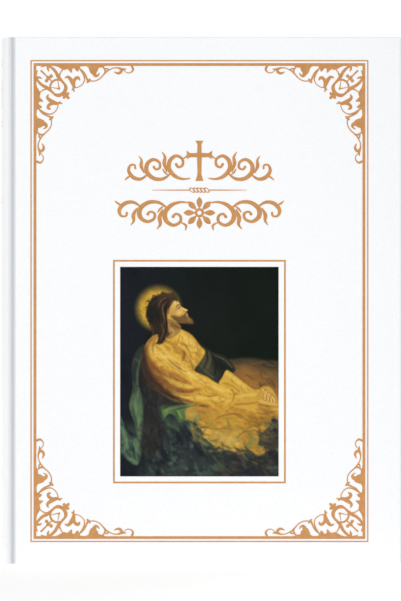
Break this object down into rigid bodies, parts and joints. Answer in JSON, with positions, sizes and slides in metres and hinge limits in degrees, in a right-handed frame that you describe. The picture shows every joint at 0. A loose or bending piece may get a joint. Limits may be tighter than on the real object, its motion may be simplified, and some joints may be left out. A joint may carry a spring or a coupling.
{
  "type": "bible",
  "caption": "Large hardcover bible with a white case, gold foil border, inset picture and a sewn text block that opens at the covers and in the middle.",
  "frame": {"origin": "centre of the closed book's footprint, on the surface that its tail edge stands on", "axes": "+Z to the head, -Y out of the front cover, -X out of the spine, +X out of the fore-edge"},
  "size_m": [0.2176, 0.0459, 0.286],
  "materials": {
    "white_leatherette": "satin",
    "gold_foil": "satin",
    "binders_board": "matte",
    "endpaper": "matte",
    "bible_paper": "matte",
    "record_paper": "satin",
    "printed_picture": "satin",
    "kraft_paper": "matte",
    "mull_cloth": "matte",
    "headband_silk": "satin"
  },
  "bodies": {
    "spine": {"spine_inlay": "binders_board", "spine_covering": "white_leatherette", "spine_foil_rules": "gold_foil", "spine_liner": "kraft_paper", "mull": "mull_cloth", "sewing_tapes": "mull_cloth", "headband": "headband_silk", "tailband": "headband_silk", "front_joint_covering": "white_leatherette", "back_joint_covering": "white_leatherette"},
    "front_half": {"signature_01": "bible_paper", "signature_02": "bible_paper", "signature_03": "bible_paper", "signature_04": "bible_paper", "signature_05": "bible_paper", "signature_06": "bible_paper", "signature_07": "bible_paper", "signature_08": "bible_paper", "signature_09": "bible_paper", "signature_10": "bible_paper", "signature_11": "bible_paper", "signature_12": "bible_paper", "front_groove_covering": "white_leatherette", "front_endpaper_joint": "endpaper"},
    "back_half": {"signature_13": "bible_paper", "signature_14": "bible_paper", "signature_15": "bible_paper", "signature_16": "bible_paper", "signature_17": "bible_paper", "signature_18": "bible_paper", "signature_19": "bible_paper", "signature_20": "bible_paper", "signature_21": "bible_paper", "signature_22": "bible_paper", "signature_23": "bible_paper", "signature_24": "bible_paper", "back_groove_covering": "white_leatherette", "back_endpaper_joint": "endpaper"},
    "front_cover": {"front_board": "binders_board", "front_covering": "white_leatherette", "front_pastedown": "endpaper", "front_border_rules": "gold_foil", "front_corner_ornaments": "gold_foil", "upper_ornament": "gold_foil", "lower_ornament": "gold_foil", "divider_ornament": "gold_foil", "picture_frame_rule": "gold_foil", "picture_plate": "printed_picture"},
    "back_cover": {"back_board": "binders_board", "back_covering": "white_leatherette", "back_pastedown": "endpaper"},
    "front_free_endpaper": {"front_flyleaf": "endpaper"},
    "presentation_page": {"presentation_leaf": "record_paper"},
    "family_record_page": {"family_record_leaf": "record_paper"},
    "keepsake_page": {"keepsake_leaf": "record_paper"},
    "map_page": {"map_leaf": "record_paper"},
    "back_free_endpaper": {"back_flyleaf": "endpaper"}
  },
  "joints": [
    {"name": "front_half_hinge", "type": "hinge", "parent": "spine", "child": "front_half", "pos_m": [-0.1068, -0.0197, 0.143], "axis": [0, 0, -1], "range_deg": [0, 90], "deforming": ["front_joint_covering"]},
    {"name": "back_half_hinge", "type": "hinge", "parent": "spine", "child": "back_half", "pos_m": [-0.1068, 0.0197, 0.143], "axis": [0, 0, 1], "range_deg": [0, 90], "deforming": ["back_joint_covering"]},
    {"name": "front_cover_hinge", "type": "hinge", "parent": "front_half", "child": "front_cover", "pos_m": [-0.1025, -0.0216, 0.143], "axis": [0, 0, -1], "range_deg": [0, 90], "deforming": ["front_groove_covering", "front_endpaper_joint"]},
    {"name": "back_cover_hinge", "type": "hinge", "parent": "back_half", "child": "back_cover", "pos_m": [-0.1025, 0.0216, 0.143], "axis": [0, 0, 1], "range_deg": [0, 90], "deforming": ["back_groove_covering", "back_endpaper_joint"]},
    {"name": "front_flyleaf_turn", "type": "hinge", "parent": "front_half", "child": "front_free_endpaper", "pos_m": [-0.1034, -0.01965, 0.143], "axis": [0, 0, -1], "range_deg": [0, 45]},
    {"name": "presentation_leaf_turn", "type": "hinge", "parent": "front_half", "child": "presentation_page", "pos_m": [-0.1034, -0.01965, 0.143], "axis": [0, 0, -1], "range_deg": [0, 22.5]},
    {"name": "back_flyleaf_turn", "type": "hinge", "parent": "back_half", "child": "back_free_endpaper", "pos_m": [-0.1034, 0.01965, 0.143], "axis": [0, 0, 1], "range_deg": [0, 45]},
    {"name": "map_leaf_turn", "type": "hinge", "parent": "back_half", "child": "map_page", "pos_m": [-0.1034, 0.01965, 0.143], "axis": [0, 0, 1], "range_deg": [0, 22.5]},
    {"name": "family_record_leaf_turn", "type": "hinge", "parent": "spine", "child": "family_record_page", "pos_m": [-0.1062, -0.00035, 0.143], "axis": [0, 0, -1], "range_deg": [0, 36]},
    {"name": "keepsake_leaf_turn", "type": "hinge", "parent": "spine", "child": "keepsake_page", "pos_m": [-0.1062, 0.00035, 0.143], "axis": [0, 0, 1], "range_deg": [0, 36]}
  ],
  "couplings": [
    {"joint": "front_flyleaf_turn", "follows": "front_cover_hinge", "ratio": 0.5},
    {"joint": "presentation_leaf_turn", "follows": "front_cover_hinge", "ratio": 0.25},
    {"joint": "back_flyleaf_turn", "follows": "back_cover_hinge", "ratio": 0.5},
    {"joint": "map_leaf_turn", "follows": "back_cover_hinge", "ratio": 0.25},
    {"joint": "family_record_leaf_turn", "follows": "front_half_hinge", "ratio": 0.4},
    {"joint": "keepsake_leaf_turn", "follows": "back_half_hinge", "ratio": 0.4}
  ]
}
